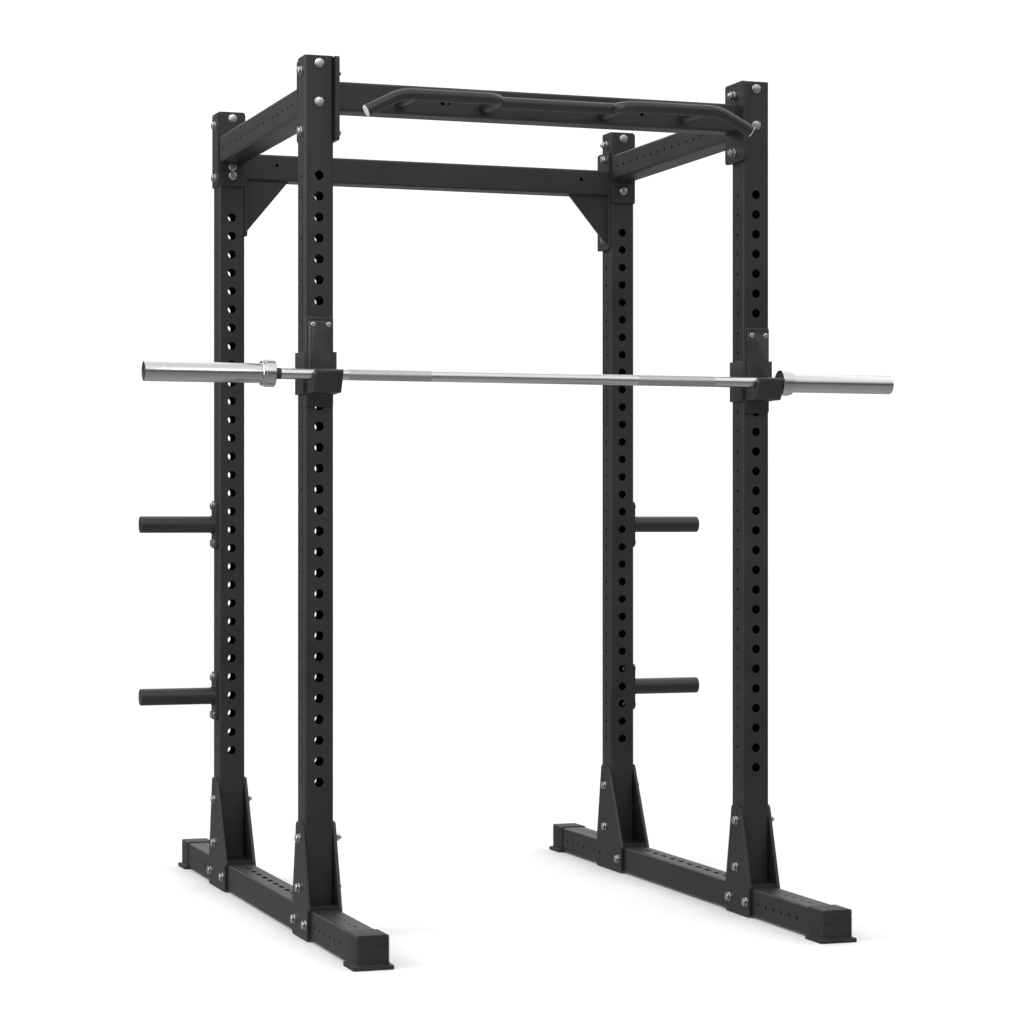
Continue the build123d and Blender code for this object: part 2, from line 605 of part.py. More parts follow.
def outer_plate(side_name):
    """A backing plate on the outside of a rear upright, under the heads of its bolts."""
    x, y = CORNERS["rear_" + side_name]
    start = x + HALF if outward(x) > 0 else x - HALF - OUTER_PLATE
    body = plate_x(start, OUTER_PLATE, y - HALF, y + HALF, FLANGE_BOTTOM_Z, FLANGE_TOP_Z)
    far = start + OUTER_PLATE + 1
    cuts = [bolt_hole_x(y, z, start - 1, far) for z in (UPPER_X_BOLT_Z, REAR_LOWER_X_BOLT_Z)]
    return cut_all(body, cuts)


def beam_bolts(name):
    """The bolts at the top of one upright."""
    x, y = CORNERS[name]
    side = outward(x)
    inside = x - side * HALF
    if name.startswith("front"):
        for z in (UPPER_X_BOLT_Z, FRONT_LOWER_X_BOLT_Z):
            add_long_bolt((x + side * HALF, y, z), (side, 0, 0), TUBE + FRONT_FLANGE)
        for z in (UPPER_Y_BOLT_Z, FRONT_LOWER_Y_BOLT_Z):
            add_long_bolt((x, y - HALF, z), (0, -1, 0), TUBE + PLATE)
        return
    outside = x + side * (HALF + OUTER_PLATE)
    add_long_bolt((outside, y, UPPER_X_BOLT_Z), (side, 0, 0), TUBE + OUTER_PLATE)
    add_short_bolt((outside, y, REAR_LOWER_X_BOLT_Z), (side, 0, 0), OUTER_PLATE + WALL)
    for z in REAR_PLATE_BOLTS_Z:
        add_short_bolt((inside - side * PLATE, y, z), (-side, 0, 0), PLATE + WALL)
    for z in (UPPER_Y_BOLT_Z, REAR_LOWER_Y_BOLT_Z[side_of(name)]):
        add_long_bolt((x, y - HALF - PLATE, z), (0, -1, 0), TUBE + PLATE)
    if name == "rear_left":
        add_short_bolt((x, y - HALF - PLATE, EXTRA_BOLT_Z), (0, -1, 0), PLATE + WALL)


# ---- pull-up grips ------------------------------------------------------------------------------------
def grip_route(sign):
    """Centre line of one handle, from the beam's face round to its free end."""
    face_y = FRONT_Y - HALF
    front = face_y - GRIP_REACH
    return FilletPolyline(
        (CAGE_X + sign * GRIP_INNER_X, face_y, GRIP_Z),
        (CAGE_X + sign * GRIP_INNER_X, front, GRIP_Z),
        (CAGE_X + sign * GRIP_OUTER_X, front, GRIP_Z),
        (CAGE_X + sign * GRIP_END_X, front, GRIP_Z - GRIP_END_DROP),
        radius=[GRIP_INNER_BEND, GRIP_OUTER_BEND],
    )


def grip_handle(sign):
    """One bent handle: a return leg, a straight grip and a sloping end."""
    route = grip_route(sign)
    start = Plane(origin=route @ 0, z_dir=route % 0)
    ring = Circle(GRIP_RADIUS) - Circle(GRIP_RADIUS - GRIP_WALL)
    return sweep(start * ring, path=route)


def grip_cap(sign):
    """The plastic plug in the free end of a handle."""
    route = grip_route(sign)
    plane = Plane(origin=route @ 1, z_dir=route % 1)
    rim = extrude(plane * Circle(GRIP_RADIUS), GRIP_CAP_RIM)
    stem = extrude(plane * Circle(GRIP_RADIUS - GRIP_WALL - PLUG_PRESS), -GRIP_CAP_DEPTH)
    return rim + stem


def grip_centre():
    """The middle grip between the two return legs, shaped to them at its ends."""
    y = FRONT_Y - HALF - CENTRE_REACH
    start = (CAGE_X - GRIP_INNER_X, y, GRIP_Z)
    end = (CAGE_X + GRIP_INNER_X, y, GRIP_Z)
    bar = rod(start, end, GRIP_RADIUS) - rod(start, end, GRIP_RADIUS - GRIP_WALL)
    legs = []
    for sign in (-1, 1):
        x = CAGE_X + sign * GRIP_INNER_X
        legs.append(rod((x, y - 2 * GRIP_RADIUS, GRIP_Z), (x, y + 2 * GRIP_RADIUS, GRIP_Z), GRIP_RADIUS))
    bar = cut_all(bar, legs)
    return bar.solids().sort_by(SortBy.VOLUME)[-1]


def grip_struts():
    """The short struts between the beam and the outer ends of the handles."""
    face_y = FRONT_Y - HALF
    front = face_y - GRIP_REACH
    struts = []
    for sign in (-1, 1):
        x = CAGE_X + sign * GRIP_STRUT_X
        strut = rod((x, front, GRIP_Z), (x, face_y, GRIP_Z), STRUT_RADIUS)
        handle = rod((x - 2 * GRIP_RADIUS, front, GRIP_Z), (x + 2 * GRIP_RADIUS, front, GRIP_Z), GRIP_RADIUS)
        strut -= handle
        struts.append(strut.solids().sort_by(SortBy.VOLUME)[-1])
    return struts


# ---- plate horns --------------------------------------------------------------------------------------
def storage_horn(side_name, level):
    """A plate horn: a bolted flange, a weld collar and a tube, on the outside of a rear upright."""
    x, y = CORNERS["rear_" + side_name]
    side = outward(x)
    z = HORN_HEIGHTS[level]
    root = x + side * HALF
    start = root if side > 0 else root - PLATE
    half_y = HORN_FLANGE_WIDTH / 2
    half_z = HORN_FLANGE_HEIGHT / 2
    flange = plate_x(start, PLATE, y - half_y, y + half_y, z - half_z, z + half_z, HORN_FLANGE_CORNER)
    face = root + side * PLATE
    tip = face + side * HORN_LENGTH
    collar = rod((face, y, z), (face + side * HORN_COLLAR_LENGTH, y, z), HORN_COLLAR_RADIUS)
    tube = rod((face, y, z), (tip, y, z), HORN_RADIUS)
    body = flange + collar + tube
    body -= rod((face, y, z), (tip, y, z), HORN_RADIUS - HORN_WALL)
    cuts = []
    for step in (HORN_BOLT_OFFSET, -HORN_BOLT_OFFSET):
        cuts.append(bolt_hole_x(y, z + step, start - 1, start + PLATE + 1))
        add_short_bolt((face, y, z + step), (side, 0, 0), PLATE + WALL)
    return cut_all(body, cuts)


def horn_cap(side_name, level):
    """The plug in the end of a plate horn."""
    x, y = CORNERS["rear_" + side_name]
    side = outward(x)
    z = HORN_HEIGHTS[level]
    tip = x + side * (HALF + PLATE + HORN_LENGTH)
    rim = rod((tip, y, z), (tip + side * HORN_CAP_RIM, y, z), HORN_RADIUS)
    rim = fillet(rim.edges().sort_by(Axis.X)[-1 if side > 0 else 0], HORN_CAP_ROUND)
    stem = rod((tip, y, z), (tip - side * HORN_CAP_DEPTH, y, z), HORN_RADIUS - HORN_WALL - PLUG_PRESS)
    return rim + stem


# ---- bar cups -----------------------------------------------------------------------------------------
def side_profile(x, width, points):
    """A prism along X whose outline is given as (y, z) points."""
    plane = Plane(origin=(x - width / 2, 0, 0), x_dir=(0, 1, 0), z_dir=(1, 0, 0))
    return plane, make_face(Polyline(*points, close=True))


def cup_screw_hole(x, y0, y1):
    """A screw hole at the top of a cup."""
    return rod((x, y0, CUP_SCREW_Z), (x, y1, CUP_SCREW_Z), CUP_SCREW_RADIUS)


def cup_frame(x):
    """The steel of a bar cup: back plate, two ears that wrap the upright, a floor and a leaning lip."""
    half = CUP_PLATE_WIDTH / 2
    body = plate_y(CUP_FRONT_Y, CUP_PLATE, x - half, x + half, CUP_BOTTOM_Z, CUP_TOP_Z, CUP_PLATE_CORNER)
    inner = HALF + CUP_GAP
    outer = inner + CUP_PLATE
    body += block(x - outer, x + outer, CUP_FRONT_Y, CUP_BACK_Y, CUP_EAR_BOTTOM_Z, CUP_EAR_TOP_Z)
    ear_back = FRONT_Y + HALF
    for sign in (-1, 1):
        near = x + sign * inner
        far = x + sign * outer
        body += block(near, far, CUP_FRONT_Y, ear_back, CUP_EAR_BOTTOM_Z, CUP_EAR_TOP_Z)
    steel = [
        (CUP_FRONT_Y, CUP_EAR_BOTTOM_Z),
        (LIP_FRONT_Y + CUP_LEAN, CUP_EAR_BOTTOM_Z),
        (LIP_FRONT_Y, CUP_LIP_STEEL_TOP_Z),
        (LIP_FRONT_Y + CUP_PLATE, CUP_LIP_STEEL_TOP_Z),
        (LIP_FRONT_Y + CUP_PLATE + CUP_LEAN, CUP_FLOOR_Z),
        (CUP_FRONT_Y, CUP_FLOOR_Z),
    ]
    plane, face = side_profile(x, CUP_WIDTH, steel)
    foot = face.vertices().sort_by_distance((LIP_FRONT_Y + CUP_LEAN, CUP_EAR_BOTTOM_Z))[0]
    face = fillet(foot, CUP_CORNER)
    body += extrude(plane * face, CUP_WIDTH)
    cuts = [rod((x, CUP_FRONT_Y - 1, CUP_PIN_Z), (x, CUP_BACK_Y + 1, CUP_PIN_Z), CUP_PIN_RADIUS)]
    for step in (-CUP_SCREW_X, CUP_SCREW_X):
        cuts.append(cup_screw_hole(x + step, CUP_FRONT_Y - 1, CUP_BACK_Y + 1))
    return cut_all(body, cuts)


def cup_pin(x):
    """The pin of a cup, welded in its back plate, which hangs it in one hole of the upright."""
    pin = rod((x, CUP_FRONT_Y, CUP_PIN_Z), (x, CUP_FRONT_Y + CUP_PIN_LENGTH, CUP_PIN_Z), CUP_PIN_RADIUS)
    return chamfer(pin.edges().group_by(Axis.Y)[-1], CUP_PIN_CHAMFER)


def cup_back_liner(x):
    """The plastic facing that keeps the bar off the back plate, bevelled on its inner side."""
    wide = CUP_LINER_WIDTH / 2
    front = CUP_FRONT_Y - CUP_LINER
    body = block(x - wide, x + wide, front, CUP_FRONT_Y, CUP_SEAT_Z, CUP_LINER_TOP_Z)
    body = chamfer(body.edges().filter_by(Axis.Z).sort_by(Axis.Y)[:2], LINER_CHAMFER)
    inward = -outward(x)
    bevel = Polyline(
        (x + inward * (wide - CUP_FACET), front),
        (x + inward * (wide + 1), front + CUP_FACET_DEPTH),
        (x + inward * (wide + 1), front),
        close=True,
    )
    facet = Pos(0, 0, CUP_SEAT_Z) * make_face(bevel)
    cuts = [extrude(facet, CUP_FACET_TOP_Z - CUP_SEAT_Z, dir=(0, 0, 1))]
    for step in (-CUP_SCREW_X, CUP_SCREW_X):
        cuts.append(cup_screw_hole(x + step, front - 1, CUP_FRONT_Y))
    return cut_all(body, cuts)


def cup_seat_liner(x):
    """The plastic block that the bar rests on, with a lip that caps the steel one."""
    outline = [
        (CUP_FRONT_Y, CUP_FLOOR_Z),
        (LIP_FRONT_Y + CUP_PLATE + CUP_LEAN, CUP_FLOOR_Z),
        (LIP_FRONT_Y + CUP_PLATE, CUP_LIP_STEEL_TOP_Z),
        (LIP_FRONT_Y, CUP_LIP_STEEL_TOP_Z),
        (LIP_FRONT_Y, CUP_LIP_TOP_Z),
        (LIP_BACK_Y, CUP_LIP_TOP_Z),
        (LIP_BACK_Y, CUP_SEAT_Z),
        (CUP_FRONT_Y, CUP_SEAT_Z),
    ]
    plane, face = side_profile(x, CUP_WIDTH, outline)
    face = fillet(face.vertices().sort_by_distance((LIP_BACK_Y, CUP_SEAT_Z))[0], CRADLE_RADIUS)
    face = fillet(face.vertices().sort_by_distance((LIP_BACK_Y, CUP_LIP_TOP_Z))[0], LIP_ROUND)
    face = fillet(face.vertices().sort_by_distance((LIP_FRONT_Y, CUP_LIP_TOP_Z))[0], LIP_ROUND)
    return extrude(plane * face, CUP_WIDTH)


def cup_screws(x):
    """The two button-head screws at the top of a back liner."""
    solids = []
    for step in (-CUP_SCREW_X, CUP_SCREW_X):
        face = CUP_FRONT_Y - CUP_LINER
        root = (x + step, face, CUP_SCREW_Z)
        shank = rod(root, (x + step, CUP_BACK_Y, CUP_SCREW_Z), CUP_SCREW_RADIUS)
        head = rod(root, (x + step, face - CUP_SCREW_HEAD, CUP_SCREW_Z), CUP_SCREW_HEAD_RADIUS)
        head = fillet(head.edges().sort_by(Axis.Y)[0], SCREW_HEAD_ROUND)
        solids.append(head + shank)
    return solids


# ---- barbell ------------------------------------------------------------------------------------------
def bar_point(x):
    """A point on the barbell's axis."""
    return (x, BAR_Y, BAR_Z)


def bar_rod(x0, x1, radius):
    """A cylinder on the barbell's axis."""
    return rod(bar_point(min(x0, x1)), bar_point(max(x0, x1)), radius)


def bar_tube(x0, x1, outer, inner):
    """A hollow cylinder on the barbell's axis."""
    return bar_rod(x0, x1, outer) - bar_rod(min(x0, x1) - 1, max(x0, x1) + 1, inner)


def bar_band_span(sign):
    """Where the black band lies in its groove, beside one collar."""
    return (sign * (BAR_COLLAR_X - BAND_WIDTH), sign * BAR_COLLAR_X)


def bar_ring_span(sign):
    """Where one snap ring lies in its groove, near the end of the shaft."""
    outer = BAR_HALF_LENGTH - SHAFT_SETBACK - SNAP_RING_INSET
    return (sign * (outer - SNAP_RING_WIDTH), sign * outer)


def bar_shaft():
    """The shaft of the barbell, grooved for its two bands and its two snap rings."""
    end = BAR_HALF_LENGTH - SHAFT_SETBACK
    body = bar_rod(-end, end, BAR_RADIUS)
    body = chamfer(body.edges().filter_by(GeomType.CIRCLE), SHAFT_CHAMFER)
    cuts = []
    for sign in (-1, 1):
        cuts.append(bar_tube(*bar_band_span(sign), BAR_RADIUS + 1, BAR_RADIUS - BAND_DEPTH))
        cuts.append(bar_tube(*bar_ring_span(sign), BAR_RADIUS + 1, BAR_RADIUS - SNAP_RING_DEPTH))
    return cut_all(body, cuts)


def bar_sleeve(sign):
    """One rotating sleeve with its collar."""
    inner_face = sign * BAR_COLLAR_X
    collar = bar_rod(inner_face, inner_face + sign * COLLAR_WIDTH, COLLAR_RADIUS)
    collar = chamfer(collar.edges().filter_by(GeomType.CIRCLE), COLLAR_CHAMFER)
    body = collar + bar_rod(inner_face, sign * BAR_HALF_LENGTH, SLEEVE_RADIUS)
    body -= bar_rod(inner_face, sign * BAR_HALF_LENGTH, SLEEVE_BORE)
    pocket = BAR_HALF_LENGTH - END_PLUG_THICKNESS - END_PLUG_RECESS
    body -= bar_rod(sign * pocket, sign * BAR_HALF_LENGTH, END_PLUG_RADIUS)
    rim = body.edges().filter_by(GeomType.CIRCLE).sort_by(Axis.X)
    ends = rim[-2:] if sign > 0 else rim[:2]
    return chamfer(ends.sort_by(SortBy.RADIUS)[-1], SLEEVE_CHAMFER)


def bar_bushings(sign):
    """The two bronze bushings pressed into one sleeve, which the shaft turns in."""
    bore = BAR_RADIUS + BUSHING_GAP
    outer_end = abs(bar_ring_span(sign)[0]) - BUSHING_END_GAP
    inner = bar_tube(sign * BAR_COLLAR_X, sign * (BAR_COLLAR_X + BUSHING_LENGTH), SLEEVE_BORE, bore)
    outer = bar_tube(sign * (outer_end - BUSHING_LENGTH), sign * outer_end, SLEEVE_BORE, bore)
    return [inner, outer]


def bar_end_plug(sign):
    """The black plug in the outer end of one sleeve."""
    start = BAR_HALF_LENGTH - END_PLUG_THICKNESS - END_PLUG_RECESS
    return bar_rod(sign * start, sign * (start + END_PLUG_THICKNESS), END_PLUG_RADIUS)


# ---- assembly -----------------------------------------------------------------------------------------
def build():
    """Every node of the cage and the barbell, by name."""
    nodes = {}
    for name, (x, y) in CORNERS.items():
        nodes["upright_" + name] = upright(name)
        nodes["foot_bracket_" + name] = foot_bracket(name)
        foot_bolts(name)
        beam_bolts(name)
    nodes["upright_plugs"] = [upright_plug(x, y) for x, y in CORNERS.values()]
    caps = []
    for side_name in ("left", "right"):
        nodes["base_tube_" + side_name] = base_tube(side_name)
        nodes["side_beam_" + side_name] = side_beam(side_name)
        nodes["outer_plate_" + side_name] = outer_plate(side_name)
        for end_name in ("front", "rear"):
            nodes["end_cap_" + end_name + "_" + side_name] = end_cap(side_name, end_name)
        for level in HORN_HEIGHTS:
            nodes["storage_horn_" + level + "_" + side_name] = storage_horn(side_name, level)
            caps.append(horn_cap(side_name, level))
    nodes["horn_caps"] = caps
    nodes["front_beam"] = front_beam()
    nodes["rear_beam"] = rear_beam()
    nodes["grip_handle_left"] = grip_handle(-1)
    nodes["grip_handle_right"] = grip_handle(1)
    nodes["grip_centre"] = grip_centre()
    nodes["grip_struts"] = grip_struts()
    nodes["grip_caps"] = [grip_cap(-1), grip_cap(1)]
    for side_name, x in (("left", LEFT_X), ("right", RIGHT_X)):
        nodes["cup_frame_" + side_name] = cup_frame(x)
        nodes["cup_pin_" + side_name] = cup_pin(x)
        nodes["cup_back_liner_" + side_name] = cup_back_liner(x)
        nodes["cup_seat_liner_" + side_name] = cup_seat_liner(x)
        nodes["cup_screws_" + side_name] = cup_screws(x)
    nodes["bar_shaft"] = bar_shaft()
    nodes["bar_snap_rings"] = [
        bar_tube(*bar_ring_span(sign), SNAP_RING_RADIUS, BAR_RADIUS - SNAP_RING_DEPTH) for sign in (-1, 1)
    ]
    for side_name, sign in (("left", -1), ("right", 1)):
        nodes["bar_band_" + side_name] = bar_tube(*bar_band_span(sign), BAR_RADIUS, BAR_RADIUS - BAND_DEPTH)
        nodes["bar_sleeve_" + side_name] = bar_sleeve(sign)
        nodes["bar_bushings_" + side_name] = bar_bushings(sign)
        nodes["bar_end_plug_" + side_name] = bar_end_plug(sign)
    nodes["long_bolts"] = long_bolts
    nodes["short_bolts"] = short_bolts
    nodes["washers"] = washers
    nodes["nuts"] = nuts
    return nodes


os.makedirs("parts", exist_ok=True)
for node_name, shape in build().items():
    if isinstance(shape, list):
        shape = Compound(children=[piece.solids()[0] for piece in shape])
    export_step(shape, "parts/" + node_name + ".step")
    print(node_name, "volume", round(shape.volume), "solids", len(shape.solids()))
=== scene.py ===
# %% [markdown]
# # A power cage with a racked barbell
# The cage is a bolted frame of square steel tube with a fine textured black powder coat. Bright zinc bolts
# hold it together, ribbed rubber boots close its base tubes, and a satin chrome barbell rests in two lined
# cups. The frame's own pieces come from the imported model, already in their real places. This file gives
# them their finishes, models the barbell's sleeves and end plugs again, and rounds the edges of the boots,
# fasteners, cups, liners and plugs.
#
# Lengths are in metres. X runs left to right, Y front to back and Z up from the floor.

# %% Load the frame
import json
import math

import bpy
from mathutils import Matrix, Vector

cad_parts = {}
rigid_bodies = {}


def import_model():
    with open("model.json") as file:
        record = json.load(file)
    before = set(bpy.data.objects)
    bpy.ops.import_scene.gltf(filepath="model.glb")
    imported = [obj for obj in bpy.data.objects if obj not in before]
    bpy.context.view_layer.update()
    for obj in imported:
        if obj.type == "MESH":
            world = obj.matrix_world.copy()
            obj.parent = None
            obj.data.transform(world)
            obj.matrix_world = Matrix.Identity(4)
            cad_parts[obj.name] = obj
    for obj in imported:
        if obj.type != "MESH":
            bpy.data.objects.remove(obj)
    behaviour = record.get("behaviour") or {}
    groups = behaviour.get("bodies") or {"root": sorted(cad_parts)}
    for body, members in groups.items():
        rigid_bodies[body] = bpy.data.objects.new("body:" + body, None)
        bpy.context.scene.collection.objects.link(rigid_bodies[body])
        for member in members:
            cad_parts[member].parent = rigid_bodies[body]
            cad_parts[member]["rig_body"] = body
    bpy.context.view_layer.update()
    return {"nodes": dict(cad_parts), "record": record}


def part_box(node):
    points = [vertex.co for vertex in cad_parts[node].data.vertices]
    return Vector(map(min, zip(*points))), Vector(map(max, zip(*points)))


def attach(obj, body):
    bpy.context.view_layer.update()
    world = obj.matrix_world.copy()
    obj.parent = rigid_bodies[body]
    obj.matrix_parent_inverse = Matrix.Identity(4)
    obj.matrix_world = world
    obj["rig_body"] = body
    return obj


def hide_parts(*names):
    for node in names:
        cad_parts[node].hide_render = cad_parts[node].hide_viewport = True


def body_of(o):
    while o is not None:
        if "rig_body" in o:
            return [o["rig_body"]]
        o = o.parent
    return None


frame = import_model()
RECORD = frame["record"]
MM = 0.001

# %% [markdown]
# ## Camera
# The cage is seen from about waist height, a little to the left of its front, through a long lens that
# keeps its uprights almost parallel. The camera looks level, so every upright stays vertical in the
# picture, and a small shift of the lens takes the place of a tilt.

# %% Camera
EYE = (-2.258, -6.873, 1.0595)
TURN_TO_RIGHT = math.radians(19.17)
FOCAL_LENGTH = 91.44
SENSOR = 36.0
LENS_SHIFT = 0.0077

camera_data = bpy.data.cameras.new("camera")
camera_data.lens = FOCAL_LENGTH
camera_data.sensor_width = SENSOR
camera_data.shift_y = LENS_SHIFT
camera = bpy.data.objects.new("camera", camera_data)
camera.location = EYE
camera.rotation_euler = (math.radians(90.0), 0.0, -TURN_TO_RIGHT)
bpy.context.scene.collection.objects.link(camera)
bpy.context.scene.camera = camera
print("camera at", EYE, "with a", FOCAL_LENGTH, "mm lens")

# %% [markdown]
# ## Studio
# A catalogue picture of black steel needs a bright surround: dark paint shows its shape only by what it
# reflects. The floor is a plain white sheet. The surround is white for what it lights, and has darker bands
# for what it reflects, because chrome in an all-white room would look like white plastic.

# %% Colour management and floor
bpy.context.scene.view_settings.view_transform = "Standard"
FLOOR_SIZE = 80.0


def new_material(name):
    """An empty material with its Principled shader and its node tree."""
    material = bpy.data.materials.new(name)
    material.use_nodes = True
    tree = material.node_tree
    shader = next(n for n in tree.nodes if n.type == "BSDF_PRINCIPLED")
    return material, tree, shader


bpy.ops.object.select_all(action="DESELECT")
bpy.ops.mesh.primitive_plane_add(size=FLOOR_SIZE, location=(0, 0, 0))
floor = bpy.context.object
floor.name = "studio_floor"
floor_material, floor_tree, floor_shader = new_material("studio_floor")
floor_shader.inputs["Base Color"].default_value = (0.93, 0.93, 0.93, 1)
floor_shader.inputs["Roughness"].default_value = 0.6
floor_shader.inputs["Specular IOR Level"].default_value = 0.2
floor.data.materials.append(floor_material)
print("floor", FLOOR_SIZE, "m wide")

# %% [markdown]
# ### The room
# The room is a world shader with two halves. One lights the scene evenly in white. The other is what a
# shiny surface sees: bands of brightness from the floor up to the ceiling, dark at the horizon and bright
# overhead.

# %% Math helper
def link_math(tree, operation, *values):
    """A math node whose inputs are sockets or plain numbers."""
    node = tree.nodes.new("ShaderNodeMath")
    node.operation = operation
    for place, value in enumerate(values):
        if isinstance(value, (int, float)):
            node.inputs[place].default_value = value
        else:
            tree.links.new(value, node.inputs[place])
    return node.outputs[0]


# %% Levels of the room
# brightness that a glossy surface sees, from straight down (0) over the horizon (0.5) to straight up (1)
BANDS = (
    (0.0, 0.50), (0.30, 0.46), (0.44, 0.34), (0.495, 0.10),
    (0.57, 0.13), (0.68, 1.35), (0.85, 1.80), (1.0, 1.30),
)
FRONT_SHARE = 0.66       # the room in front of the cage, as a share of its sides and back
ROOM_LIGHT = 1.10
print("a white room with", len(BANDS), "bands of reflection")

# %% World nodes
world = bpy.data.worlds.new("studio")
bpy.context.scene.world = world
world.use_nodes = True
sky = world.node_tree
sky.nodes.clear()
sky_out = sky.nodes.new("ShaderNodeOutputWorld")
sky_mix = sky.nodes.new("ShaderNodeMixShader")
sky_light = sky.nodes.new("ShaderNodeBackground")
sky_mirror = sky.nodes.new("ShaderNodeBackground")
sky_ray = sky.nodes.new("ShaderNodeLightPath")
sky_place = sky.nodes.new("ShaderNodeTexCoord")
sky_split = sky.nodes.new("ShaderNodeSeparateXYZ")
sky_bands = sky.nodes.new("ShaderNodeValToRGB")
sky_light.inputs["Color"].default_value = (1, 1, 1, 1)
sky_light.inputs["Strength"].default_value = ROOM_LIGHT
sky.links.new(sky_place.outputs["Generated"], sky_split.inputs["Vector"])
height = link_math(sky, "MULTIPLY_ADD", sky_split.outputs["Z"], 0.5, 0.5)
sky.links.new(height, sky_bands.inputs["Fac"])
print(len(sky.nodes), "world nodes")

# %% Bands of reflection
ramp = sky_bands.color_ramp
ramp.interpolation = "EASE"
while len(ramp.elements) < len(BANDS):
    ramp.elements.new(0.5)
for element, (place, level) in zip(ramp.elements, BANDS):
    element.position = place
    element.color = (level, level, level, 1)
sky.links.new(sky_bands.outputs["Color"], sky_mirror.inputs["Color"])
print("brightest band", max(level for place, level in BANDS))

# %% Light and reflection together
# from the front (Y = -1) to the sides and back, the room gets brighter
sideways = link_math(sky, "SMOOTH_MIN", link_math(sky, "ADD", sky_split.outputs["Y"], 1.0), 1.0, 0.2)
strength = link_math(sky, "MULTIPLY_ADD", sideways, 1.0 - FRONT_SHARE, FRONT_SHARE)
sky.links.new(strength, sky_mirror.inputs["Strength"])
sky.links.new(sky_ray.outputs["Is Glossy Ray"], sky_mix.inputs["Fac"])
sky.links.new(sky_light.outputs["Background"], sky_mix.inputs[1])
sky.links.new(sky_mirror.outputs["Background"], sky_mix.inputs[2])
sky.links.new(sky_mix.outputs["Shader"], sky_out.inputs["Surface"])
floor.visible_glossy = False
print(len(sky.links), "world links")

# %% [markdown]
# ### Softboxes
# Two large soft lights stand outside the picture. One is to the left of the cage and the other high in
# front of it.

# %% Softboxes
def softbox(name, place, aim, width, height, power):
    """A rectangular soft light at a place, turned towards a point."""
    data = bpy.data.lights.new(name, "AREA")
    data.shape = "RECTANGLE"
    data.size = width
    data.size_y = height
    data.energy = power
    light = bpy.data.objects.new(name, data)
    light.location = place
    direction = Vector(aim) - Vector(place)
    light.rotation_euler = direction.to_track_quat("-Z", "Y").to_euler()
    bpy.context.scene.collection.objects.link(light)


MIDDLE = (0.05, 0.03, 1.1)
softbox("left_softbox", (-5.0, -1.0, 2.6), MIDDLE, 2.2, 3.5, 110)
softbox("front_softbox", (-1.0, -6.5, 4.6), MIDDLE, 3.0, 1.2, 60)
print("two softboxes")

# %% [markdown]
# ## Finishes
# Each finish is a small recipe of nodes over the Principled shader. All of them read Object coordinates, so
# the grain has its real size on every piece and runs through neighbouring pieces without a seam.

# %% Node helpers
def add_node(tree, kind, **settings):
    """A node of one kind, with its inputs set by name."""
    node = tree.nodes.new(kind)
    for key, value in settings.items():
        node.inputs[key.replace("_", " ")].default_value = value
    return node


def noise(tree, place, scale, detail=2.0, rough=0.5):
    """A noise pattern over Object coordinates."""
    node = add_node(tree, "ShaderNodeTexNoise", Scale=scale, Detail=detail, Roughness=rough)
    tree.links.new(place, node.inputs["Vector"])
    return node.outputs["Fac"]


def spread(tree, value, low, high, start=0.3, end=0.7):
    """Stretches a pattern between two levels."""
    node = add_node(tree, "ShaderNodeMapRange", From_Min=start, From_Max=end, To_Min=low, To_Max=high)
    tree.links.new(value, node.inputs["Value"])
    return node.outputs["Result"]


def object_place(tree):
    """Object coordinates."""
    return tree.nodes.new("ShaderNodeTexCoord").outputs["Object"]


def tint(tree, shader, value, dark, light):
    """Base colour between two tones, driven by a pattern."""
    node = tree.nodes.new("ShaderNodeMix")
    node.data_type = "RGBA"
    node.inputs[6].default_value = (*dark, 1)
    node.inputs[7].default_value = (*light, 1)
    tree.links.new(value, node.inputs[0])
    tree.links.new(node.outputs[2], shader.inputs["Base Color"])
    return node


def bump(tree, shader, value, height, strength=1.0, normal=None):
    """Raises the surface by a pattern, by up to a height in metres."""
    node = add_node(tree, "ShaderNodeBump", Strength=strength, Distance=height)
    tree.links.new(value, node.inputs["Height"])
    if normal is not None:
        tree.links.new(normal, node.inputs["Normal"])
    tree.links.new(node.outputs["Normal"], shader.inputs["Normal"])


def edge_mask(tree, radius):
    """1 along a piece's edges and 0 on its flats, found by rounding the normal over a small radius."""
    rounded = tree.nodes.new("ShaderNodeBevel")
    rounded.samples = 4
    rounded.inputs["Radius"].default_value = radius
    flat = tree.nodes.new("ShaderNodeNewGeometry")
    dot = tree.nodes.new("ShaderNodeVectorMath")
    dot.operation = "DOT_PRODUCT"
    tree.links.new(rounded.outputs["Normal"], dot.inputs[0])
    tree.links.new(flat.outputs["Normal"], dot.inputs[1])
    return spread(tree, dot.outputs["Value"], 1.0, 0.0, start=0.75, end=0.99), rounded.outputs["Normal"]


# %% [markdown]
# ### Powder coat
# Powder is sprayed dry and melted into a skin about 0.1 mm thick. It keeps a fine pebbled texture. So the
# recipe has a millimetre grain for the bump, a slow drift of tone and gloss, and a painted highlight that
# lightens the colour along every edge, in patches.

# %% Powder coat
POWDER_GRAIN = 1100.0            # pebbles in a metre
PEBBLE_HEIGHT = 0.12 * MM
# radius over which edges are rounded in shading and lightened by the painted edge highlight
ROUNDED_EDGE_RADIUS = 1.6 * MM
COAT_DARK = (0.0100, 0.0102, 0.0106)
COAT_LIGHT = (0.0140, 0.0142, 0.0147)


